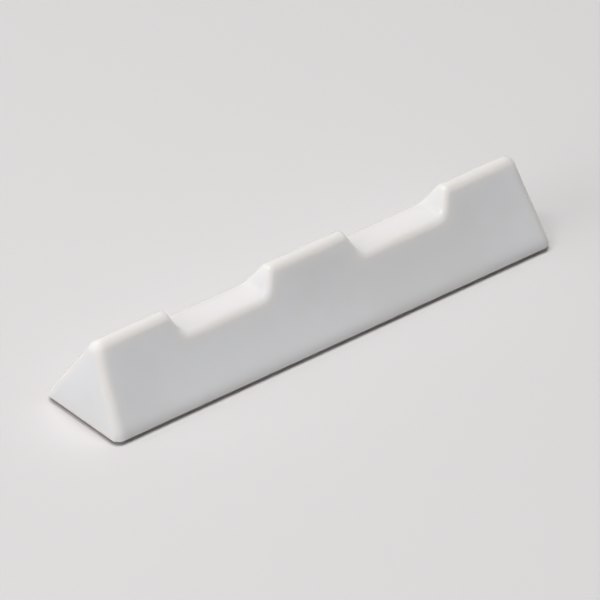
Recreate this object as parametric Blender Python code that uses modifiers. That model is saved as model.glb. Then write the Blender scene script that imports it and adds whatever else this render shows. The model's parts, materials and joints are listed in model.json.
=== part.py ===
"""Chopstick rest: a glazed porcelain bar of triangular section with two notches across its ridge.

The bar is modelled as it is made. The fired porcelain body stands on a bare foot, and a thin coat of
glaze wraps the body down to the foot. Units are metres, +Z is up, +X runs along the ridge, and the
origin is the middle of the footprint on the table.
"""

import math

import bmesh
import bpy
from mathutils import Vector

MM = 0.001

# Overall size, measured over the glaze
LENGTH = 105.0 * MM
WIDTH = 20.3 * MM
HEIGHT = 16.6 * MM
END_DRAFT = math.radians(7.5)

# Rounded edges, measured over the glaze
RIDGE_RADIUS = 1.8 * MM
END_EDGE_RADIUS = 1.4 * MM
BASE_EDGE_RADIUS = 1.2 * MM

# Two notches across the ridge
NOTCH_PITCH = 42.5 * MM
NOTCH_FLOOR_WIDTH = 19.8 * MM
NOTCH_DEPTH = 4.3 * MM
NOTCH_WALL_LEAN = math.radians(27.0)
NOTCH_EDGE_RADIUS = 1.6 * MM
NOTCH_CORNER_RADIUS = 1.2 * MM

# Glaze, and the small gap that keeps the coat and the body apart as solids
GLAZE = 0.3 * MM
FUSION_GAP = 0.1 * MM

# Bare foot under the body, which leaves a shadow gap below the glazed edge
FOOT_HEIGHT = 0.5 * MM
FOOT_INSET = 2.0 * MM
FOOT_CORNER_RADIUS = 1.5 * MM
FOOT_RIM = 2.2 * MM
RECESS_DEPTH = 1.0 * MM
RECESS_EDGE_RADIUS = 0.6 * MM

# Facets per rounding, and the bevel profile that makes it a circular arc
RIDGE_STEPS = 8
CORNER_STEPS = 4
EDGE_STEPS = 4
ROUND_PROFILE = 0.5

# Edges that turn more than this are rounded, and the facets of an arc turn less
SHARP_EDGE = math.radians(30.0)
SAME_FACE = math.radians(2.5)
CUTTER_MARGIN = 5.0 * MM
SETTLING_TURNS = 6

PORCELAIN_COLOUR = (0.83, 0.81, 0.77, 1.0)
GLAZE_COLOUR = (0.86, 0.87, 0.86, 1.0)


def clear_scene():
    """Remove every object that the file already holds."""
    for old in list(bpy.data.objects):
        bpy.data.objects.remove(old, do_unlink=True)


def new_collection(name):
    """Make a collection under the scene's own."""
    collection = bpy.data.collections.new(name)
    bpy.context.scene.collection.children.link(collection)
    return collection


def new_material(name, colour, roughness, coat):
    """Make a plain Principled material."""
    material = bpy.data.materials.new(name)
    material.use_nodes = True
    shader = material.node_tree.nodes["Principled BSDF"]
    shader.inputs["Base Color"].default_value = colour
    shader.inputs["Roughness"].default_value = roughness
    shader.inputs["Metallic"].default_value = 0.0
    shader.inputs["Coat Weight"].default_value = coat
    material.diffuse_color = colour
    return material


def arc(centre, radius, start, end, steps):
    """Points on an arc, as (across, up), from one angle to another."""
    angles = [start + (end - start) * step / steps for step in range(steps + 1)]
    return [(centre[0] + radius * math.cos(a), centre[1] + radius * math.sin(a)) for a in angles]


def corner_overhang(normal_angle):
    """How far a base corner lies outside its rounded edge, below a face whose normal points up by an angle."""
    cut_back = BASE_EDGE_RADIUS * math.tan((math.pi / 2 + normal_angle) / 2)
    slope = math.sin(normal_angle)
    return cut_back * (1 + slope - math.hypot(1, slope))


def side_normal_angle():
    """Angle above the horizontal of a long side's outward normal.

    The side runs from the base corner up to the ridge circle, which it touches. The corner's place follows
    from the angle, because the rounded edge comes out to the full width, so the two are settled in turns.
    """
    drop = HEIGHT - RIDGE_RADIUS - FOOT_HEIGHT
    angle = 0.0
    for _ in range(SETTLING_TURNS):
        half_base = WIDTH / 2 + corner_overhang(angle)
        angle = math.acos(RIDGE_RADIUS / math.hypot(half_base, drop)) - math.atan2(drop, half_base)
    return angle


def section_outline(inset):
    """Section across the bar, inset from the glazed surface: a triangle with a round ridge."""
    angle = side_normal_angle()
    ridge_centre = (0.0, HEIGHT - RIDGE_RADIUS)
    reach = ridge_centre[1] * math.sin(angle) + RIDGE_RADIUS - inset
    underside = FOOT_HEIGHT + inset
    half_base = (reach - underside * math.sin(angle)) / math.cos(angle)
    ridge = arc(ridge_centre, RIDGE_RADIUS - inset, angle, math.pi - angle, RIDGE_STEPS)
    return [(-half_base, underside), (half_base, underside)] + ridge


def notch_outline(centre, inset):
    """Points down, across and up one notch, from its left wall's top to its right wall's top."""
    lean = NOTCH_WALL_LEAN
    floor = HEIGHT - NOTCH_DEPTH - inset
    radius = NOTCH_CORNER_RADIUS + inset
    widening = inset * (1 - math.sin(lean)) / math.cos(lean)
    half_floor = NOTCH_FLOOR_WIDTH / 2 + widening
    top = HEIGHT + CUTTER_MARGIN
    half_top = half_floor + (top - floor) * math.tan(lean)
    flat = half_floor - radius * (1 - math.sin(lean)) / math.cos(lean)
    corner_height = floor + radius
    turned = math.pi + lean
    left = arc((centre - flat, corner_height), radius, turned, 1.5 * math.pi, CORNER_STEPS)
    right = arc((centre + flat, corner_height), radius, 1.5 * math.pi, 3 * math.pi - turned, CORNER_STEPS)
    return [(centre - half_top, top)] + left + right + [(centre + half_top, top)]


def side_outline(inset):
    """Side view of the bar as (along, up): drafted ends and both notches, left open above the ridge."""
    underside = FOOT_HEIGHT + inset
    narrowing = inset * (1 + math.sin(END_DRAFT)) / math.cos(END_DRAFT)
    half_base = LENGTH / 2 + corner_overhang(END_DRAFT) - narrowing
    top = HEIGHT + CUTTER_MARGIN
    half_top = half_base - (top - underside) * math.tan(END_DRAFT)
    notches = notch_outline(-NOTCH_PITCH / 2, inset) + notch_outline(NOTCH_PITCH / 2, inset)
    corners = [(half_top, top), (half_base, underside), (-half_base, underside), (-half_top, top)]
    return notches + corners


def extruded(name, outline, place, along, half_length):
    """Extrude a closed outline both ways along a direction, and return the new object."""
    shape = bmesh.new()
    ring = [shape.verts.new(place(a, b) - along * half_length) for a, b in outline]
    face = shape.faces.new(ring)
    grown = bmesh.ops.extrude_face_region(shape, geom=[face])
    moved = [item for item in grown["geom"] if isinstance(item, bmesh.types.BMVert)]
    bmesh.ops.translate(shape, verts=moved, vec=along * 2 * half_length)
    bmesh.ops.recalc_face_normals(shape, faces=shape.faces[:])
    return object_from(name, shape)


def object_from(name, shape):
    """Turn a bmesh into an object with a mesh of the same name."""
    mesh = bpy.data.meshes.new(name)
    shape.to_mesh(mesh)
    shape.free()
    return bpy.data.objects.new(name, mesh)


def rounded_block(name, size_x, size_y, bottom, top, corner_radius, top_radius):
    """A block on the Z axis with round corners in plan, and a round top edge if one is given."""
    shape = bmesh.new()
    bmesh.ops.create_cube(shape, size=1.0)
    bmesh.ops.scale(shape, verts=shape.verts[:], vec=Vector((size_x, size_y, top - bottom)))
    bmesh.ops.translate(shape, verts=shape.verts[:], vec=Vector((0.0, 0.0, (top + bottom) / 2)))
    upright = [e for e in shape.edges if abs(e.verts[0].co.z - e.verts[1].co.z) > (top - bottom) / 2]
    bevel_edges(shape, upright, corner_radius)
    if top_radius > 0.0:
        middle = (top + bottom) / 2
        rim = [e for e in shape.edges if is_rim(e, middle)]
        bevel_edges(shape, rim, top_radius)
    return object_from(name, shape)


def is_rim(edge, height):
    """Whether an edge bounds a flat top above a height."""
    above = all(vertex.co.z > height for vertex in edge.verts)
    level = any(face.normal.z > math.cos(SAME_FACE) for face in edge.link_faces)
    return above and level and edge.calc_face_angle() > SHARP_EDGE


def bevel_edges(shape, edges, offset):
    """Round some edges of a bmesh."""
    bmesh.ops.bevel(
        shape,
        geom=edges,
        offset=offset,
        offset_type="OFFSET",
        affect="EDGES",
        segments=EDGE_STEPS,
        profile=ROUND_PROFILE,
        material=-1,
        clamp_overlap=False,
    )
    shape.normal_update()


def add_boolean(target, other, operation):
    """Add a live Boolean modifier with the exact solver."""
    modifier = target.modifiers.new(f"{operation.title()} {other.name}", "BOOLEAN")
    modifier.operation = operation
    modifier.solver = "EXACT"
    modifier.object = other


def edge_radius(edge, inset):
    """Radius of a sharp edge of the form, from the faces that meet there."""
    normals = [face.normal for face in edge.link_faces]
    if any(normal.z < -math.cos(SAME_FACE) for normal in normals):
        return BASE_EDGE_RADIUS - inset
    if any(abs(normal.x) > math.cos(END_DRAFT + SAME_FACE) for normal in normals):
        return END_EDGE_RADIUS - inset
    return NOTCH_EDGE_RADIUS - inset


def round_sharp_edges(form, inset):
    """Give each sharp edge the bevel weight for its radius, and add the Bevel modifier."""
    shape = bmesh.new()
    shape.from_mesh(form.data)
    shape.normal_update()
    weights = shape.edges.layers.float.new("bevel_weight_edge")
    sharp = [edge for edge in shape.edges if edge.calc_face_angle() > SHARP_EDGE]
    offsets = [edge_radius(edge, inset) * math.tan(edge.calc_face_angle() / 2) for edge in sharp]
    widest = max(offsets)
    for edge, offset in zip(sharp, offsets):
        edge[weights] = offset / widest
    shape.to_mesh(form.data)
    shape.free()
    bevel = form.modifiers.new("Rounded edges", "BEVEL")
    bevel.limit_method = "WEIGHT"
    bevel.offset_type = "OFFSET"
    bevel.width = widest
    bevel.segments = EDGE_STEPS
    bevel.profile = ROUND_PROFILE
    bevel.use_clamp_overlap = False


def notched_form(name, inset, collection):
    """The bar's form at an inset from the glazed surface, where its section and its side view meet."""
    section = extruded(
        f"{name}_section",
        section_outline(inset),
        lambda across, up: Vector((0.0, across, up)),
        Vector((1.0, 0.0, 0.0)),
        LENGTH / 2 + CUTTER_MARGIN,
    )
    side = extruded(
        f"{name}_side",
        side_outline(inset),
        lambda along, up: Vector((along, 0.0, up)),
        Vector((0.0, 1.0, 0.0)),
        WIDTH / 2 + CUTTER_MARGIN,
    )
    collection.objects.link(section)
    collection.objects.link(side)
    add_boolean(section, side, "INTERSECT")
    settled = section.evaluated_get(bpy.context.evaluated_depsgraph_get())
    form = bpy.data.objects.new(name, bpy.data.meshes.new_from_object(settled))
    bpy.data.objects.remove(section, do_unlink=True)
    bpy.data.objects.remove(side, do_unlink=True)
    collection.objects.link(form)
    form.data.name = name
    round_sharp_edges(form, inset)
    return form


def hide_cutter(cutter):
    """Mark an object as a construction aid."""
    cutter.hide_render = True
    cutter.display_type = "WIRE"


def finish_piece(piece, material):
    """Give a piece its material and smooth shading between its real edges."""
    piece.data.materials.clear()
    piece.data.materials.append(material)
    piece.data.shade_smooth()
    piece.data.set_sharp_from_angle(angle=SHARP_EDGE)


def foot_block(name, clearance, bottom, top):
    """The foot's block, or the clear space round it."""
    return rounded_block(
        name,
        LENGTH - 2 * FOOT_INSET + 2 * clearance,
        WIDTH - 2 * FOOT_INSET + 2 * clearance,
        bottom,
        top,
        FOOT_CORNER_RADIUS + clearance,
        0.0,
    )


def make_glaze_coat(pieces, cutters):
    """The glaze: a shell between two forms, open under the body where the foot comes through."""
    coat = notched_form("glaze_coat", 0.0, pieces)
    hollow = notched_form("glaze_hollow", GLAZE, cutters)
    opening = foot_block("foot_opening", FUSION_GAP, -CUTTER_MARGIN, FOOT_HEIGHT + GLAZE + RECESS_DEPTH)
    cutters.objects.link(opening)
    add_boolean(hollow, opening, "UNION")
    add_boolean(coat, hollow, "DIFFERENCE")
    hide_cutter(hollow)
    hide_cutter(opening)
    finish_piece(coat, new_material("clear_glaze", GLAZE_COLOUR, 0.12, 1.0))


def make_porcelain_body(pieces, cutters):
    """The fired body, with its bare foot and the shallow recess that leaves a bearing rim."""
    cover = GLAZE + FUSION_GAP
    body = notched_form("porcelain_body", cover, pieces)
    foot = foot_block("foot", 0.0, 0.0, FOOT_HEIGHT + cover + RECESS_DEPTH)
    recess = rounded_block(
        "foot_recess",
        LENGTH - 2 * FOOT_INSET - 2 * FOOT_RIM,
        WIDTH - 2 * FOOT_INSET - 2 * FOOT_RIM,
        -CUTTER_MARGIN,
        RECESS_DEPTH,
        FOOT_CORNER_RADIUS,
        RECESS_EDGE_RADIUS,
    )
    cutters.objects.link(foot)
    cutters.objects.link(recess)
    add_boolean(body, foot, "UNION")
    add_boolean(body, recess, "DIFFERENCE")
    hide_cutter(foot)
    hide_cutter(recess)
    finish_piece(body, new_material("bare_porcelain", PORCELAIN_COLOUR, 0.65, 0.0))


def main():
    clear_scene()
    pieces = new_collection("chopstick_rest")
    cutters = new_collection("cutters")
    make_porcelain_body(pieces, cutters)
    make_glaze_coat(pieces, cutters)


main()
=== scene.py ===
"""Looks of the glazed porcelain chopstick rest, laid out as a Blender add-on and run as a script."""

import json
import math

import bmesh
import bpy
import numpy as np
from bpy.props import FloatProperty, FloatVectorProperty, PointerProperty
from mathutils import Matrix, Vector, noise


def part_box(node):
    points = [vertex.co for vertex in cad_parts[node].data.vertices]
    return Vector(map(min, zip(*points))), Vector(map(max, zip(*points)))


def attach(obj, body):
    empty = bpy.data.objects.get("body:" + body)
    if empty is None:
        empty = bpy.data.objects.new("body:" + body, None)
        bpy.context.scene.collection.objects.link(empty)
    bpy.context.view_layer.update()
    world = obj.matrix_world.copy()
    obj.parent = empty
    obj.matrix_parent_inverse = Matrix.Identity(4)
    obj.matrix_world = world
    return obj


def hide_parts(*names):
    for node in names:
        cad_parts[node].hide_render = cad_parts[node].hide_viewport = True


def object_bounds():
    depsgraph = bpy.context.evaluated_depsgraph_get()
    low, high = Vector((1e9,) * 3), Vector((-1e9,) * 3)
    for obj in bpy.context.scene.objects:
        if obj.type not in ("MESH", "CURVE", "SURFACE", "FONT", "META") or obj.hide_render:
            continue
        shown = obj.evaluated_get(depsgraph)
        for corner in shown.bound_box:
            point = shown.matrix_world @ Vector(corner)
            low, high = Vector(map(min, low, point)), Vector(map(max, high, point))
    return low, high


bl_info = {
    "name": "Porcelain chopstick rest",
    "version": (1, 0, 0),
    "blender": (4, 5, 0),
    "location": "View3D > Sidebar > Chopstick rest",
    "description": "Builds a glazed porcelain chopstick rest on its packed frame",
    "category": "Object",
}

MM = 0.001

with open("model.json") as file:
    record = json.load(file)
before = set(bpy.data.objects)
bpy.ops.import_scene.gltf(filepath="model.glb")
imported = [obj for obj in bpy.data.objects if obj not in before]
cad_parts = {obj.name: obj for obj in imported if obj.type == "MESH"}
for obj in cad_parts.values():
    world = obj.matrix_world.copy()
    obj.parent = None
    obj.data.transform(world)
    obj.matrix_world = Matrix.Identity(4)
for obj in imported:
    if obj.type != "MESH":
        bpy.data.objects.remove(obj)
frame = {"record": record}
CAD_LOW, CAD_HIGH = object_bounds()
MOUNT_PLACES = {mount["name"]: Vector(mount["pos_m"]) for mount in frame["record"]["mounts"]}
LEFT_FLOOR = MOUNT_PLACES["left_notch_floor"]
RIGHT_FLOOR = MOUNT_PLACES["right_notch_floor"]
GLAZE_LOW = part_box("glaze_coat")[0]

# The picture is square and this many pixels wide
PICTURE_SIDE = 600

# Facets per rounding, and the bevel profile of a round edge
ROLL_STEPS = 10
CORNER_STEPS = 8
BASE_STEPS = 6
FOOT_STEPS = 4
ROUND_PROFILE = 0.5

# Grid that carries the fine surface, and how often and how far the melted glaze evens out on it
GRID_SPACING = 1.0 * MM
GRID_SNAP = 0.03 * MM
FLOW_PASSES = 8
FLOW_SHARE = 0.5

# Angles at which a face counts as facing a direction, and an edge as sharp
SAME_FACE = math.radians(2.0)
SHARP_EDGE = math.radians(50.0)

# Lengths at which points count as one, heights as level, and a strip along the ridge as a line
SAME_POINT = 1.0e-7
SAME_HEIGHT = 1.0e-6
RIDGE_LINE = 0.05 * MM
RIDGE_STRIP = 3 * RIDGE_LINE
UP = Vector((0.0, 0.0, 1.0))

# Height over which the waviness of the firing comes in
WAVE_RISE = 2.0 * MM

# Powers by which the sag fades towards the ends, and the painted top light fades with the tilt of a face
SAG_FADE = 8
TOP_LIGHT_FADE = 4

# Sockets of a Mix node that carry colours
MIX_FIRST = 6
MIX_SECOND = 7
MIX_RESULT = 2

# Detail in a noise pattern, and the part of a speck that is solid
SMOOTH = 1.0
SOFT = 2.0
FINE = 3.0
RICH = 4.0
SPECK_CORE = 0.5

# Glaze: its gloss, the light that scatters in it, and the spacing, depth and share of its patterns
GLAZE_REFRACTION = 1.5
GLAZE_ROUGHNESS = 0.045
SCATTER_SHARE = 0.9
SCATTER_DEPTH = 3.2 * MM
SCATTER_COLOUR = (1.0, 0.95, 0.9)
CLOUD_SPACING = 22.0 * MM
CLOUD_BEGIN = 0.36
CLOUD_END = 0.64
MIRRORED = (-1.0, 1.0, 1.0)
POOLED_SHARE = 0.8
SMEAR_SPACING = 5.0 * MM
SMEAR_ROUGHNESS = 0.05
RIPPLE_SPACING = 2.6 * MM
RIPPLE_DEPTH = 0.012 * MM
PINHOLE_SPACING = 9.0 * MM
PINHOLE_SIZE = 0.012
PINHOLE_SHARE = 0.35
PINHOLE_DIP = 0.5

# Bare porcelain: its dull finish, and the spacing, depth and share of its patterns
CLAY_REFRACTION = 1.45
CLAY_ROUGHNESS = 0.72
CLAY_SPACING = 14.0 * MM
CLAY_SHARE = 0.15
# Share of the painted shade in the gap under the glazed edge
GAP_SHADE_SHARE = 0.8
GRAIN_SPACING = 0.35 * MM
GRAIN_ROUGHNESS = 0.2
GRAIN_SHARE = 0.6
GRAIN_DEPTH = 0.03 * MM
GRINDING_SPACING = 0.5 * MM
GRINDING_STRETCH = (0.06, 1.0, 1.0)
GRINDING_SHARE = 0.4
SPECK_SPACING = 2.4 * MM
SPECK_SIZE = 0.05
SPECK_SHARE = 0.5

# Table top: its dull finish, and the spacing, depth and share of its patterns
TABLE_ROUGHNESS = 0.6
TABLE_SPACING = 120.0 * MM
TABLE_WEAR = 0.985
TOOTH_SPACING = 0.6 * MM
TOOTH_DEPTH = 0.01 * MM
TOOTH_ROUGHNESS = 0.1

# Where the lights stand, how wide and high they are, and how far the table and the view reach
OVERHEAD_PLACE = Vector((0.0, 0.0, 1.2))
OVERHEAD_SIZE = (0.7, 0.7)
LEFT_PLACE = Vector((-1.6, 0.12, 0.45))
LEFT_SIZE = (1.6, 0.85)
REAR_PLACE = Vector((0.0, 0.75, 0.95))
REAR_SIZE = (0.9, 0.9)
SOFTBOX_PLACE = Vector((-0.42, 0.1, 0.8))
SOFTBOX_SIZE = (0.2, 0.2)
TABLE_RADIUS = 1.5
TABLE_SIDES = 96
CAMERA_REACH = 10.0


def length_property(name, description, default):
    """A length that a user can change."""
    return FloatProperty(name=name, description=description, default=default, min=0.0, unit="LENGTH")


def angle_property(name, description, degrees):
    """An angle that a user can change, given in degrees."""
    return FloatProperty(
        name=name, description=description, default=math.radians(degrees), subtype="ANGLE"
    )


def power_property(name, description, default):
    """A light's power that a user can change."""
    return FloatProperty(name=name, description=description, default=default, min=0.0, subtype="POWER")


def colour_property(name, description, default):
    """A colour that a user can change."""
    return FloatVectorProperty(
        name=name, description=description, default=default, size=3, min=0.0, max=1.0, subtype="COLOR"
    )


class RestSizes(bpy.types.PropertyGroup):
    """Sizes of the bar over its glaze, and of the bare foot."""

    length: length_property("Length", "End to end over the glaze", CAD_HIGH.x - CAD_LOW.x)
    width: length_property("Width", "Across the base over the glaze", CAD_HIGH.y - CAD_LOW.y)
    height: length_property("Height", "Table to the top of the ridge", CAD_HIGH.z - CAD_LOW.z)
    end_draft: angle_property("End draft", "Inward lean of both ends", 7.5)
    ridge_radius: length_property("Ridge radius", "Roll of the ridge", 2.2 * MM)
    end_radius: length_property("End radius", "Roll of the edges round both ends", 2.0 * MM)
    base_radius: length_property("Base radius", "Roll of the edges along the base", 0.5 * MM)
    base_ease: length_property("Base ease", "How far the sides draw in above the base", 0.60 * MM)
    ease_height: length_property("Ease height", "Height over which they draw in", 2.0 * MM)
    notch_pitch: length_property("Notch pitch", "Middle to middle", RIGHT_FLOOR.x - LEFT_FLOOR.x)
    notch_floor: length_property("Notch floor", "Width of a notch's flat floor", 19.8 * MM)
    notch_height: length_property("Notch height", "Table to a notch's floor", LEFT_FLOOR.z)
    notch_lean: angle_property("Notch lean", "Lean of the notch walls", 27.0)
    crest_radius: length_property("Crest radius", "Where a notch wall meets the ridge", 0.9 * MM)
    valley_radius: length_property("Valley radius", "Where a notch wall meets its floor", 2.2 * MM)
    glaze: length_property("Glaze", "Thickness of the glaze", 0.3 * MM)
    cover: length_property("Cover", "Glazed surface down to the bare body", 0.4 * MM)
    foot_height: length_property("Foot height", "Table to the glazed underside", GLAZE_LOW.z)
    foot_inset: length_property("Foot inset", "Outer edge in to the foot", 2.0 * MM)
    foot_corner: length_property("Foot corner", "Round of the foot in plan", 1.5 * MM)
    foot_rim: length_property("Foot rim", "Width of the bearing rim", 2.2 * MM)
    foot_edge: length_property("Foot edge", "Ground edge of the foot", 0.12 * MM)
    recess_depth: length_property("Recess depth", "Hollow under the foot", 1.0 * MM)
    recess_edge: length_property("Recess edge", "Round at the top of the hollow", 0.6 * MM)
    hollow: length_property("Hollow", "Sag of the long sides", 0.60 * MM)
    wave_height: length_property("Wave height", "Unevenness left by firing", 0.035 * MM)
    wave_length: length_property("Wave length", "Spacing of that unevenness", 16.0 * MM)


class RestFinish(bpy.types.PropertyGroup):
    """Colours of the glaze and of the bare porcelain, and how far some of them reach."""

    white: colour_property("White", "Glaze over the open faces", (0.737, 0.747, 0.754))
    clouded: colour_property("Clouded glaze", "Pale clouds in the open faces", (0.775, 0.787, 0.799))
    # Painted top light: a lighter, pinkish colour on faces that look up, standing in for the light from
    # above
    level: colour_property("Level glaze", "Glaze that settles on level faces", (0.825, 0.798, 0.803))
    thin: colour_property("Thin glaze", "Glaze drawn thin along the edges", (0.75, 0.726, 0.702))
    pooled: colour_property("Pooled glaze", "Glaze gathered in the corners", (0.775, 0.76, 0.76))
    bare: colour_property("Bare porcelain", "Unglazed foot", (0.76, 0.735, 0.70))
    # Clay drift and painted shade: a dark brown that tints the bare porcelain in random drifts, and is
    # painted on the body where it meets the glaze as shade in the gap under the glazed edge
    clay_drift_and_gap_shade: colour_property("Flashing", "Toasted line where the glaze stops", (0.50, 0.43, 0.37))
    speck: colour_property("Specks", "Fine iron specks in the clay", (0.34, 0.30, 0.27))
    thin_reach: length_property("Thin reach", "How far glaze is thin beside an edge", 1.6 * MM)
    pooled_reach: length_property("Pooled reach", "How far it gathers beside a corner", 2.2 * MM)
    # Painted shade: how far from the glaze line the painted gap shade fades
    gap_shade_reach: length_property("Flashing reach", "How far the toasted line fades", 0.35 * MM)


class RestStage(bpy.types.PropertyGroup):
    """Floor, lights and camera."""

    floor: colour_property("Floor", "Matt table top", (0.71, 0.685, 0.69))
    sky: colour_property("Sky", "Pale room behind the floor and in reflections", (0.70, 0.685, 0.69))
    overhead_power: power_property("Overhead", "Panel straight above the bar", 11.2)
    left_power: power_property("Left", "Low panel off the left end", 13.3)
    rear_power: power_property("Rear", "Panel above and behind the bar", 0.9)
    softbox_power: power_property("Softbox", "Small softbox above the left end", 1.5)
    turn: angle_property("Turn", "Camera heading from square on", 42.02)
    elevation: angle_property("Elevation", "Camera height above the horizon", 34.31)
    roll: angle_property("Roll", "Camera roll", 2.465)
    distance: length_property("Distance", "Camera to the middle of the bar", 3000.0 * MM)
    pixels_per_mm: FloatProperty(
        name="Pixels per mm", description="Scale at the middle of the bar", default=5.456
    )
    middle_x: FloatProperty(name="Middle X", description="Picture column of the middle", default=300.7)
    middle_y: FloatProperty(name="Middle Y", description="Picture row of the middle", default=323.0)


class Signal:
    """A number in a node tree, so that shader maths reads as Python."""

    def __init__(self, nodes, socket):
        self.nodes = nodes
        self.socket = socket

    def math(self, operation, first, second):
        settings = {"operation": operation}
        made = self.nodes.node("ShaderNodeMath", settings, {0: first, 1: second})
        return Signal(self.nodes, made.outputs[0])

    def __add__(self, other):
        return self.math("ADD", self, other)

    def __radd__(self, other):
        return self.math("ADD", other, self)

    def __sub__(self, other):
        return self.math("SUBTRACT", self, other)

    def __rsub__(self, other):
        return self.math("SUBTRACT", other, self)

    def __mul__(self, other):
        return self.math("MULTIPLY", self, other)

    def __rmul__(self, other):
        return self.math("MULTIPLY", other, self)


class NodeTree:
    """The nodes of a material or of the world."""

    def __init__(self, owner):
        owner.use_nodes = True
        self.tree = owner.node_tree

    def node(self, kind, settings, sockets):
        """Add a node: its settings first, then the values or links of its sockets."""
        made = self.tree.nodes.new(kind)
        for name, value in settings.items():
            setattr(made, name, value)
        for name, value in sockets.items():
            self.feed(made.inputs[name], value)
        return made

    def feed(self, socket, value):
        """Link a socket, or set its own value."""
        if isinstance(value, Signal):
            value = value.socket
        if isinstance(value, bpy.types.NodeSocket):
            self.tree.links.new(value, socket)
        else:
            socket.default_value = value


class Finish(NodeTree):
    """One material and the nodes that make it."""

    def __init__(self, name):
        self.material = bpy.data.materials.new(name)
        super().__init__(self.material)
        self.shader = self.tree.nodes["Principled BSDF"]
        self.output = self.tree.nodes["Material Output"]

    def place(self):
        """Object coordinates."""
        return self.node("ShaderNodeTexCoord", {}, {}).outputs["Object"]

    def attribute(self, name):
        """A number that the mesh carries."""
        return Signal(self, self.node("ShaderNodeAttribute", {"attribute_name": name}, {}).outputs["Fac"])

    def cloud(self, wavelength, detail, stretch=(1.0, 1.0, 1.0)):
        """Noise of a given wavelength, from 0 to 1."""
        mapped = self.node("ShaderNodeMapping", {}, {"Vector": self.place(), "Scale": stretch})
        sockets = {"Vector": mapped.outputs[0], "Scale": 1.0 / wavelength, "Detail": detail}
        return Signal(self, self.node("ShaderNodeTexNoise", {}, sockets).outputs["Fac"])

    def specks(self, spacing, size):
        """Sparse round specks, 1 inside and 0 outside."""
        sockets = {"Vector": self.place(), "Scale": 1.0 / spacing}
        cells = self.node("ShaderNodeTexVoronoi", {"feature": "F1"}, sockets)
        return self.ramp(Signal(self, cells.outputs["Distance"]), size, SPECK_CORE * size)

    def ramp(self, value, low, high):
        """A smooth step from 0 at low to 1 at high."""
        sockets = {"Value": value, "From Min": low, "From Max": high, "To Min": 0.0, "To Max": 1.0}
        made = self.node("ShaderNodeMapRange", {"interpolation_type": "SMOOTHSTEP"}, sockets)
        return Signal(self, made.outputs["Result"])

    def blend(self, share, first, second):
        """Mix two colours."""
        made = self.node("ShaderNodeMix", {"data_type": "RGBA"}, {"Factor": share})
        self.feed(made.inputs[MIX_FIRST], colour(first))
        self.feed(made.inputs[MIX_SECOND], colour(second))
        return made.outputs[MIX_RESULT]

    def bump(self, height, depth):
        """Raise the surface by a signal from 0 to 1 times a depth."""
        made = self.node("ShaderNodeBump", {}, {"Height": height, "Distance": depth, "Strength": 1.0})
        self.feed(self.shader.inputs["Normal"], made.outputs["Normal"])

    def settle(self, **values):
        """Feed the shader's own sockets, named with underscores for spaces."""
        for name, value in values.items():
            self.feed(self.shader.inputs[name.replace("_", " ")], value)


def colour(value):
    """A colour with full alpha, or the link that it already is."""
    if isinstance(value, bpy.types.NodeSocket):
        return value
    return (*value, 1.0)


def glaze_material(look):
    """Glossy glaze over white porcelain: clouded on open faces, painted lighter on faces that look up as
    light from above, thin on edges, gathered in corners.
    """
    finish = Finish("glazed_porcelain")
    clouds = finish.ramp(finish.cloud(CLOUD_SPACING, FINE, MIRRORED), CLOUD_BEGIN, CLOUD_END)
    sloping = finish.blend(clouds, look.white, look.clouded)
    # Painted top light: the colour goes lighter as a face turns up
    top_lit_face = finish.blend(finish.attribute("painted_top_light_mask"), sloping, look.level)
    edged = finish.blend(finish.attribute("thin_glaze"), top_lit_face, look.thin)
    gathered = finish.blend(finish.attribute("pooled_glaze") * POOLED_SHARE, edged, look.pooled)
    pinholes = finish.specks(PINHOLE_SPACING, PINHOLE_SIZE)
    speckled = finish.blend(pinholes * PINHOLE_SHARE, gathered, look.speck)
    roughness = GLAZE_ROUGHNESS + SMEAR_ROUGHNESS * finish.cloud(SMEAR_SPACING, SOFT)
    finish.settle(Base_Color=speckled, Roughness=roughness, IOR=GLAZE_REFRACTION)
    finish.settle(Subsurface_Weight=SCATTER_SHARE, Subsurface_Scale=SCATTER_DEPTH)
    finish.settle(Subsurface_Radius=SCATTER_COLOUR)
    finish.bump(finish.cloud(RIPPLE_SPACING, SMOOTH) - PINHOLE_DIP * pinholes, RIPPLE_DEPTH)
    return finish.material


def bare_material(look):
    """Matt fired porcelain with a ground rim, fine grain, specks and painted shade where the body meets the
    glaze, in the gap under the glazed edge.
    """
    finish = Finish("bare_fired_porcelain")
    drift = finish.cloud(CLAY_SPACING, RICH)
    grain = finish.cloud(GRAIN_SPACING, FINE)
    grinding = finish.cloud(GRINDING_SPACING, SOFT, GRINDING_STRETCH)
    ground = finish.blend(drift * CLAY_SHARE, look.bare, look.clay_drift_and_gap_shade)
    # Painted shade: the body goes dark brown where it meets the glaze, in the gap under the glazed edge
    gap_shaded = finish.blend(finish.attribute("painted_gap_shade") * GAP_SHADE_SHARE, ground, look.clay_drift_and_gap_shade)
    specks = finish.specks(SPECK_SPACING, SPECK_SIZE)
    speckled = finish.blend(specks * SPECK_SHARE, gap_shaded, look.speck)
    roughness = CLAY_ROUGHNESS + GRAIN_ROUGHNESS * grain
    finish.settle(Base_Color=speckled, Roughness=roughness, IOR=CLAY_REFRACTION)
    finish.bump(GRAIN_SHARE * grain + GRINDING_SHARE * grinding, GRAIN_DEPTH)
    return finish.material


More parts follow.
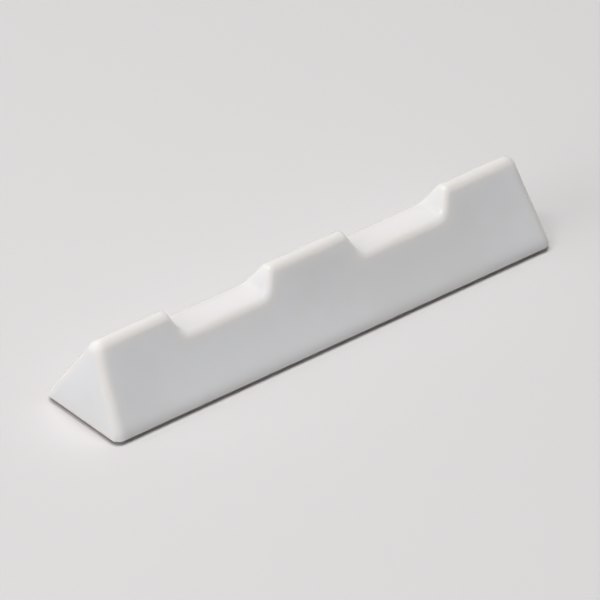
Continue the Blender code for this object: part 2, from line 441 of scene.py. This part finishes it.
def floor_material(look):
    """Pale matt table top that hides nothing from below."""
    finish = Finish("table_top")
    drift = finish.cloud(TABLE_SPACING, SOFT)
    tooth = finish.cloud(TOOTH_SPACING, FINE)
    worn = tuple(TABLE_WEAR * part for part in look.floor)
    roughness = TABLE_ROUGHNESS + TOOTH_ROUGHNESS * tooth
    finish.settle(Base_Color=finish.blend(drift, look.floor, worn), Roughness=roughness)
    finish.bump(tooth, TOOTH_DEPTH)
    under = finish.node("ShaderNodeNewGeometry", {}, {}).outputs["Backfacing"]
    clear = finish.node("ShaderNodeBsdfTransparent", {}, {}).outputs[0]
    lit = finish.shader.outputs[0]
    mixed = finish.node("ShaderNodeMixShader", {}, {0: under, 1: lit, 2: clear})
    finish.feed(finish.output.inputs["Surface"], mixed.outputs[0])
    return finish.material


def faces_way(face, direction):
    """Whether a face looks along a direction."""
    return face.normal.angle(direction, math.pi) < SAME_FACE


def side_normal_angle(sizes):
    """Angle of a long side's normal above the horizontal: the side touches the ridge and base rolls."""
    across = sizes.width / 2 + sizes.base_ease - sizes.base_radius
    drop = (sizes.height - sizes.ridge_radius) - (sizes.foot_height + sizes.base_radius)
    lean = math.acos((sizes.ridge_radius - sizes.base_radius) / math.hypot(across, drop))
    return lean - math.atan2(drop, across)


def side_reach(sizes):
    """Distance of a long side's plane from the middle of the table line."""
    ridge_centre = sizes.height - sizes.ridge_radius
    return ridge_centre * math.sin(side_normal_angle(sizes)) + sizes.ridge_radius


def end_roll(sizes):
    """How far the roll round an end reaches in from its edges."""
    turn = math.acos(math.sin(side_normal_angle(sizes)) * math.sin(sizes.end_draft))
    return sizes.end_radius * math.tan(turn / 2)


def bar_outline(sizes, inset):
    """Corners of the bar's side view as (along, up), at an inset from the glazed surface."""
    underside = sizes.foot_height + inset
    top = sizes.height - inset
    floor = sizes.notch_height - inset
    draft = sizes.end_draft
    lean = sizes.notch_lean
    flare = (1 + math.sin(draft)) / math.cos(draft)
    half_base = sizes.length / 2 + end_roll(sizes) * (1 - 1 / flare) - inset * flare
    half_top = half_base - (top - underside) * math.tan(draft)
    half_floor = sizes.notch_floor / 2 + inset * (1 - math.sin(lean)) / math.cos(lean)
    half_mouth = half_floor + (top - floor) * math.tan(lean)
    outline = [(-half_base, underside), (half_base, underside), (half_top, top)]
    for middle in (sizes.notch_pitch / 2, -sizes.notch_pitch / 2):
        outline += [(middle + half_mouth, top), (middle + half_floor, floor)]
        outline += [(middle - half_floor, floor), (middle - half_mouth, top)]
    return outline + [(-half_top, top)]


def bar_blank(sizes, inset):
    """Extrude the side view across the bar, then plane both long sides to their slope."""
    shape = bmesh.new()
    ring = [shape.verts.new((along, -sizes.width, up)) for along, up in bar_outline(sizes, inset)]
    face = shape.faces.new(ring)
    grown = bmesh.ops.extrude_face_region(shape, geom=[face])
    moved = [item for item in grown["geom"] if isinstance(item, bmesh.types.BMVert)]
    bmesh.ops.translate(shape, verts=moved, vec=(0.0, 2 * sizes.width, 0.0))
    angle = side_normal_angle(sizes)
    for way in (-1, 1):
        normal = Vector((0.0, way * math.cos(angle), math.sin(angle)))
        plane_off(shape, normal * (side_reach(sizes) - inset), normal)
    turn_outward(shape)
    return shape


def plane_off(shape, point, normal):
    """Cut away what lies beyond a plane, and close the cut."""
    everything = shape.verts[:] + shape.edges[:] + shape.faces[:]
    cut = bmesh.ops.bisect_plane(
        shape, geom=everything, dist=SAME_POINT, plane_co=point, plane_no=normal, clear_outer=True
    )
    rim = [item for item in cut["geom_cut"] if isinstance(item, bmesh.types.BMEdge)]
    bmesh.ops.edgeloop_fill(shape, edges=rim)


def roll_edges(shape, edges, offset, steps):
    """Round some edges."""
    shape.normal_update()
    bmesh.ops.bevel(
        shape,
        geom=edges,
        offset=offset,
        offset_type="OFFSET",
        affect="EDGES",
        segments=steps,
        profile=ROUND_PROFILE,
        material=-1,
        loop_slide=True,
        clamp_overlap=False,
    )
    shape.normal_update()


def crosses_bar(edge):
    """Whether an edge runs straight across the bar."""
    step = edge.verts[1].co - edge.verts[0].co
    return abs(step.x) < SAME_POINT and abs(step.z) < SAME_POINT


def is_at_height(edge, height):
    """Whether both ends of an edge lie at a height."""
    return all(abs(vert.co.z - height) < SAME_HEIGHT for vert in edge.verts)


def is_long_side(face, sizes):
    """Whether a face is one of the two sloping sides."""
    angle = side_normal_angle(sizes)
    slopes = [Vector((0.0, way * math.cos(angle), math.sin(angle))) for way in (-1, 1)]
    return any(faces_way(face, slope) for slope in slopes)


def is_end(face, sizes):
    """Whether a face is one of the two drafted ends."""
    draft = sizes.end_draft
    ends = [Vector((way * math.cos(draft), 0.0, math.sin(draft))) for way in (-1, 1)]
    return any(faces_way(face, end) for end in ends)


def is_underside(face):
    """Whether a face looks straight down."""
    return faces_way(face, -UP)


def edge_lines(edges):
    """End points of edges, as two arrays."""
    starts = np.array([edge.verts[0].co for edge in edges])
    ends = np.array([edge.verts[1].co for edge in edges])
    return starts, ends


def notched_bar(sizes):
    """The bar with all its edges rolled, and the lines of its raised edges and of its corners."""
    shape = bar_blank(sizes, 0.0)
    shape.normal_update()
    outer_land = sizes.length / 2 - (sizes.length - sizes.notch_pitch - sizes.notch_floor) / 4
    turn = math.tan((math.pi / 2 - sizes.notch_lean) / 2)
    across = [edge for edge in shape.edges if crosses_bar(edge)]
    valleys = [edge for edge in across if is_at_height(edge, sizes.notch_height)]
    tops = [edge for edge in across if is_at_height(edge, sizes.height)]
    crests = [edge for edge in tops if abs(edge.verts[0].co.x) < outer_land]
    valley_lines = edge_lines(valleys)
    raised_lines = edge_lines([edge for edge in shape.edges if edge not in valleys])
    roll_edges(shape, valleys, sizes.valley_radius * turn, CORNER_STEPS)
    crests = [edge for edge in crests if edge.is_valid]
    roll_edges(shape, crests, sizes.crest_radius * turn, CORNER_STEPS)
    half_flat = min(abs(vert.co.y) for vert in shape.verts if vert.co.z > sizes.height - SAME_HEIGHT)
    rims = [edge for edge in shape.edges if is_rim(edge, sizes)]
    roll_edges(shape, rims, half_flat - RIDGE_LINE, ROLL_STEPS)
    across = [edge for edge in shape.edges if crosses_bar(edge)]
    narrow = [edge for edge in across if edge.calc_length() < RIDGE_STRIP]
    bmesh.ops.collapse(shape, edges=narrow)
    ends = [edge for edge in shape.edges if is_end_edge(edge, sizes)]
    roll_edges(shape, ends, end_roll(sizes), ROLL_STEPS)
    bases = [edge for edge in shape.edges if is_base(edge)]
    base_turn = math.tan((math.pi / 2 + side_normal_angle(sizes)) / 2)
    roll_edges(shape, bases, sizes.base_radius * base_turn, BASE_STEPS)
    return shape, raised_lines, valley_lines


def is_rim(edge, sizes):
    """Whether an edge runs along the ridge or a notch, between a long side and the top."""
    sides = [face for face in edge.link_faces if is_long_side(face, sizes)]
    others = [face for face in edge.link_faces if face not in sides]
    if len(sides) != 1 or len(others) != 1:
        return False
    return not is_end(others[0], sizes) and not is_underside(others[0])


def is_end_edge(edge, sizes):
    """Whether an edge bounds an end, from the base up over the ridge."""
    at_end = any(is_end(face, sizes) for face in edge.link_faces)
    return at_end and not any(is_underside(face) for face in edge.link_faces)


def is_base(edge):
    """Whether an edge bounds the underside."""
    return sum(is_underside(face) for face in edge.link_faces) == 1


def is_ground_edge(edge):
    """Whether an edge bounds the flat rim that bears on the table."""
    return is_at_height(edge, 0.0) and edge.calc_face_angle(0.0) > SHARP_EDGE


def rounded_loop(shape, half_x, half_y, height, radius):
    """A loop of edges round a rectangle with round corners, at a height."""
    corners = [(half_x, half_y), (-half_x, half_y), (-half_x, -half_y), (half_x, -half_y)]
    verts = [shape.verts.new((x, y, height)) for x, y in corners]
    shape.faces.new(verts)
    made = bmesh.ops.bevel(
        shape,
        geom=verts,
        offset=radius,
        offset_type="OFFSET",
        affect="VERTICES",
        segments=BASE_STEPS,
        profile=ROUND_PROFILE,
        material=-1,
    )
    plate = made["verts"][0].link_faces[0]
    edges = plate.edges[:]
    bmesh.ops.delete(shape, geom=[plate], context="FACES_ONLY")
    return edges


def open_underside(shape, half_x, half_y, radius):
    """Cut an opening with round corners in the underside, and return its edges."""
    underside = [face for face in shape.faces if is_underside(face)]
    if not underside:
        raise RuntimeError("The bar has no underside to open")
    plate = max(underside, key=lambda face: face.calc_area())
    height = plate.calc_center_median().z
    outer = plate.edges[:]
    bmesh.ops.delete(shape, geom=[plate], context="FACES_ONLY")
    inner = rounded_loop(shape, half_x, half_y, height, radius)
    bmesh.ops.triangle_fill(shape, edges=outer + inner, use_beauty=True, normal=-UP)
    return inner


def draw_loop(shape, edges, drop):
    """Pull a loop of edges up or down into a wall, and return the new loop."""
    made = bmesh.ops.extrude_edge_only(shape, edges=edges)
    verts = [item for item in made["geom"] if isinstance(item, bmesh.types.BMVert)]
    bmesh.ops.translate(shape, verts=verts, vec=(0.0, 0.0, drop))
    fresh = set(verts)
    return [
        item
        for item in made["geom"]
        if isinstance(item, bmesh.types.BMEdge) and all(vert in fresh for vert in item.verts)
    ]


def step_in(shape, edges, width):
    """Pull a loop of edges in from all four sides at its own height, and return the new loop."""
    loop = draw_loop(shape, edges, 0.0)
    for vert in {vert for edge in loop for vert in edge.verts}:
        vert.co.x -= math.copysign(width, vert.co.x)
        vert.co.y -= math.copysign(width, vert.co.y)
    return loop


def slice_grid(shape, low, high):
    """Slice every face on a square grid, so that the surface can carry its fine shape."""
    for axis in range(3):
        normal = Vector([1.0 if axis == step else 0.0 for step in range(3)])
        count = int((high[axis] - low[axis]) / GRID_SPACING)
        for step in range(1, count):
            place = normal * (low[axis] + step * (high[axis] - low[axis]) / count)
            everything = shape.verts[:] + shape.edges[:] + shape.faces[:]
            bmesh.ops.bisect_plane(
                shape, geom=everything, dist=GRID_SNAP, plane_co=place, plane_no=normal
            )


def turn_outward(shape):
    """Point every face of a closed bmesh outward."""
    bmesh.ops.recalc_face_normals(shape, faces=shape.faces[:])
    if shape.calc_volume(signed=True) < 0.0:
        bmesh.ops.reverse_faces(shape, faces=shape.faces[:])
    shape.normal_update()


def clamped(value):
    """A value held between 0 and 1."""
    return min(max(value, 0.0), 1.0)


def soften_edges(shape, sizes):
    """Let the melted glaze even out, so that the rolls above the base run out softly into the faces."""
    base = sizes.foot_height + sizes.base_radius + sizes.ease_height
    melted = [vert for vert in shape.verts if vert.co.z > base]
    for _ in range(FLOW_PASSES):
        bmesh.ops.smooth_vert(
            shape, verts=melted, factor=FLOW_SHARE, use_axis_x=True, use_axis_y=True, use_axis_z=True
        )


def draw_in_base(shape, sizes):
    """Draw the foot of both long sides in, gently at first and then steadily round the base edge."""
    mouth = sizes.width / 2 - sizes.foot_inset + sizes.cover
    for vert in shape.verts:
        share = 1 - (vert.co.z - sizes.foot_height - sizes.base_radius) / sizes.ease_height
        if share <= 0.0:
            continue
        ease = share * share if share < 1.0 else 2 * share - 1
        outward = clamped((abs(vert.co.y) - mouth) / (sizes.width / 2 - mouth))
        vert.co.y -= math.copysign(sizes.base_ease * ease * outward, vert.co.y)


def fire_unevenness(shape, sizes):
    """Move each point along its normal in a slow, slight wave, and sink the long sides between the ends."""
    angle = side_normal_angle(sizes)
    reach = side_reach(sizes)
    rise = sizes.height - sizes.foot_height
    shifts = []
    for vert in shape.verts:
        above = vert.co.z - sizes.foot_height
        wave = noise.noise(vert.co / sizes.wave_length) * clamped(above / WAVE_RISE) * sizes.wave_height
        half_width = (reach - vert.co.z * math.sin(angle)) / math.cos(angle)
        share = clamped(above / rise)
        between_ends = 1 - clamped(2 * abs(vert.co.x) / sizes.length) ** SAG_FADE
        sag = 4 * share * (1 - share) * between_ends * sizes.hollow
        inward = -sag * max(-1.0, min(vert.co.y / half_width, 1.0))
        shifts.append(vert.normal * wave + Vector((0.0, inward, 0.0)))
    for vert, shift in zip(shape.verts, shifts):
        vert.co += shift


def closeness(points, lines, reach):
    """How near each point is to the nearest of some lines: 1 on a line, and fading over a reach."""
    nearest = np.full(len(points), np.inf)
    for start, end in zip(*lines):
        along = end - start
        share = np.clip((points - start) @ along / (along @ along), 0.0, 1.0)
        gap = np.linalg.norm(points - start - share[:, None] * along, axis=1)
        nearest = np.minimum(nearest, gap)
    return np.exp(-((nearest / reach) ** 2))


def add_attribute(mesh, name, values):
    """Store one number per point on a mesh."""
    layer = mesh.attributes.new(name, "FLOAT", "POINT")
    layer.data.foreach_set("value", np.asarray(values, dtype=np.float32))


def mesh_points(mesh):
    """A mesh's points as an array."""
    points = np.zeros(len(mesh.vertices) * 3)
    mesh.vertices.foreach_get("co", points)
    return points.reshape(-1, 3)


def finished_piece(name, shape, material):
    """Turn a bmesh into an object in the scene, shaded smooth, with its material."""
    if not all(edge.is_manifold for edge in shape.edges):
        raise RuntimeError(f"{name} has an open seam")
    turn_outward(shape)
    mesh = bpy.data.meshes.new(name)
    shape.to_mesh(mesh)
    shape.free()
    mesh.shade_smooth()
    mesh.set_sharp_from_angle(angle=SHARP_EDGE)
    mesh.materials.append(material)
    piece = bpy.data.objects.new(name, mesh)
    bpy.context.scene.collection.objects.link(piece)
    return piece


class REST_OT_glaze_coat(bpy.types.Operator):
    """Build the closed glazed surface, rolled at its edges and open round the foot"""

    bl_idname = "rest.glaze_coat"
    bl_label = "Glaze coat"

    def execute(self, context):
        sizes = context.scene.rest_sizes
        look = context.scene.rest_finish
        shape, raised, valleys = notched_bar(sizes)
        half_x = sizes.length / 2 - sizes.foot_inset
        half_y = sizes.width / 2 - sizes.foot_inset
        clearance = sizes.cover - sizes.glaze
        mouth = open_underside(
            shape, half_x + clearance, half_y + clearance, sizes.foot_corner + clearance
        )
        bmesh.ops.edgeloop_fill(shape, edges=draw_loop(shape, mouth, sizes.cover))
        slice_grid(shape, CAD_LOW, CAD_HIGH)
        soften_edges(shape, sizes)
        draw_in_base(shape, sizes)
        turn_outward(shape)
        fire_unevenness(shape, sizes)
        piece = finished_piece("glazed_surface", shape, glaze_material(look))
        points = mesh_points(piece.data)
        # Painted top light: how far each point faces up, for the lighter colour
        level = [clamped(vert.normal.z) ** TOP_LIGHT_FADE for vert in piece.data.vertices]
        add_attribute(piece.data, "thin_glaze", closeness(points, raised, look.thin_reach))
        add_attribute(piece.data, "painted_top_light_mask", level)
        add_attribute(piece.data, "pooled_glaze", closeness(points, valleys, look.pooled_reach))
        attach(piece, "root")
        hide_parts("glaze_coat")
        return {"FINISHED"}


class REST_OT_porcelain_body(bpy.types.Operator):
    """Build the fired body with its bare foot, ground rim and hollow"""

    bl_idname = "rest.porcelain_body"
    bl_label = "Porcelain body"

    def execute(self, context):
        sizes = context.scene.rest_sizes
        look = context.scene.rest_finish
        depth = sizes.cover + sizes.hollow
        shape = bar_blank(sizes, depth)
        half_x = sizes.length / 2 - sizes.foot_inset
        half_y = sizes.width / 2 - sizes.foot_inset
        collar = open_underside(shape, half_x, half_y, sizes.foot_corner)
        sole = draw_loop(shape, collar, -sizes.foot_height - depth)
        lip = step_in(shape, sole, sizes.foot_rim)
        ceiling = draw_loop(shape, lip, sizes.recess_depth)
        bmesh.ops.edgeloop_fill(shape, edges=ceiling)
        turn_outward(shape)
        roll_edges(shape, ceiling, sizes.recess_edge, BASE_STEPS)
        ground = [edge for edge in shape.edges if is_ground_edge(edge)]
        roll_edges(shape, ground, sizes.foot_edge, FOOT_STEPS)
        piece = finished_piece("bare_foot_and_body", shape, bare_material(look))
        above_glaze = mesh_points(piece.data)[:, 2] - sizes.foot_height
        # Painted shade: strongest at the height where the glaze stops, inside the gap under the glazed edge
        add_attribute(piece.data, "painted_gap_shade", np.exp(-((above_glaze / look.gap_shade_reach) ** 2)))
        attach(piece, "root")
        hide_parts("porcelain_body")
        return {"FINISHED"}


class REST_OT_stage(bpy.types.Operator):
    """Set the floor, the lights, the pale room and the camera"""

    bl_idname = "rest.stage"
    bl_label = "Stage"

    def execute(self, context):
        stage = context.scene.rest_stage
        add_floor(stage)
        overhead = add_light("overhead_panel", OVERHEAD_PLACE, OVERHEAD_SIZE, stage.overhead_power)
        left = add_light("left_panel", LEFT_PLACE, LEFT_SIZE, stage.left_power)
        overhead.visible_glossy = False
        left.visible_glossy = False
        add_light("rear_panel", REAR_PLACE, REAR_SIZE, stage.rear_power)
        add_light("softbox", SOFTBOX_PLACE, SOFTBOX_SIZE, stage.softbox_power)
        add_room(context.scene, stage)
        add_camera(context.scene, stage)
        context.scene.view_settings.view_transform = "Standard"
        return {"FINISHED"}


def add_floor(stage):
    """A round table top under the bar."""
    shape = bmesh.new()
    bmesh.ops.create_circle(shape, cap_ends=True, radius=TABLE_RADIUS, segments=TABLE_SIDES)
    mesh = bpy.data.meshes.new("table_top")
    shape.to_mesh(mesh)
    shape.free()
    mesh.materials.append(floor_material(stage))
    floor = bpy.data.objects.new("table_top", mesh)
    bpy.context.scene.collection.objects.link(floor)


def add_light(name, place, size, power):
    """A rectangular light at a place, turned to the middle of the bar."""
    data = bpy.data.lights.new(name, "AREA")
    data.shape = "RECTANGLE"
    data.size, data.size_y = size
    data.energy = power
    light = bpy.data.objects.new(name, data)
    light.location = place
    light.rotation_mode = "QUATERNION"
    light.rotation_quaternion = (-place).to_track_quat("-Z", "Y")
    light.visible_camera = False
    bpy.context.scene.collection.objects.link(light)
    return light


def add_room(scene, stage):
    """A pale room to the eye and in reflections, which lights nothing else."""
    world = bpy.data.worlds.new("pale_room")
    nodes = NodeTree(world)
    rays = nodes.node("ShaderNodeLightPath", {}, {}).outputs
    seen = Signal(nodes, rays["Is Camera Ray"])
    for ray in ("Is Glossy Ray", "Is Transmission Ray"):
        seen = seen.math("MAXIMUM", seen, Signal(nodes, rays[ray]))
    background = nodes.tree.nodes["Background"]
    nodes.feed(background.inputs["Color"], colour(stage.sky))
    nodes.feed(background.inputs["Strength"], seen)
    scene.world = world


def add_camera(scene, stage):
    """A long lens at the photograph's viewing angle."""
    data = bpy.data.cameras.new("camera")
    scale = stage.pixels_per_mm / MM
    data.lens = data.sensor_width * scale * stage.distance / PICTURE_SIDE
    data.clip_end = CAMERA_REACH
    level = Vector((math.sin(stage.turn), math.cos(stage.turn), 0.0))
    ahead = level * math.cos(stage.elevation) - UP * math.sin(stage.elevation)
    flat_right = ahead.cross(UP).normalized()
    flat_up = flat_right.cross(ahead)
    right = flat_right * math.cos(stage.roll) + flat_up * math.sin(stage.roll)
    up = flat_up * math.cos(stage.roll) - flat_right * math.sin(stage.roll)
    shift_right = (stage.middle_x - PICTURE_SIDE / 2) / scale
    shift_up = (PICTURE_SIDE / 2 - stage.middle_y) / scale
    place = -ahead * stage.distance - right * shift_right - up * shift_up
    camera = bpy.data.objects.new("camera", data)
    turned = Matrix((right, up, -ahead)).transposed().to_4x4()
    camera.matrix_world = Matrix.Translation(place) @ turned
    scene.collection.objects.link(camera)
    scene.camera = camera


class REST_PT_sidebar(bpy.types.Panel):
    """Lists the steps that build the rest, with their sizes and colours"""

    bl_idname = "REST_PT_sidebar"
    bl_label = "Chopstick rest"
    bl_space_type = "VIEW_3D"
    bl_region_type = "UI"
    bl_category = "Chopstick rest"

    def draw(self, context):
        for step in STEPS:
            self.layout.operator(step.bl_idname)
        for group in (context.scene.rest_sizes, context.scene.rest_finish, context.scene.rest_stage):
            for name in group.__annotations__:
                self.layout.prop(group, name)


STEPS = (REST_OT_porcelain_body, REST_OT_glaze_coat, REST_OT_stage)
CLASSES = (RestSizes, RestFinish, RestStage, *STEPS, REST_PT_sidebar)


def register():
    """Make the sizes, the steps and the sidebar known to Blender."""
    for item in CLASSES:
        bpy.utils.register_class(item)
    bpy.types.Scene.rest_sizes = PointerProperty(type=RestSizes)
    bpy.types.Scene.rest_finish = PointerProperty(type=RestFinish)
    bpy.types.Scene.rest_stage = PointerProperty(type=RestStage)


def unregister():
    """Take them away again."""
    del bpy.types.Scene.rest_stage
    del bpy.types.Scene.rest_finish
    del bpy.types.Scene.rest_sizes
    for item in reversed(CLASSES):
        bpy.utils.unregister_class(item)


def main():
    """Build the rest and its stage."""
    register()
    bpy.ops.rest.porcelain_body()
    bpy.ops.rest.glaze_coat()
    bpy.ops.rest.stage()


if __name__ == "__main__":
    main()
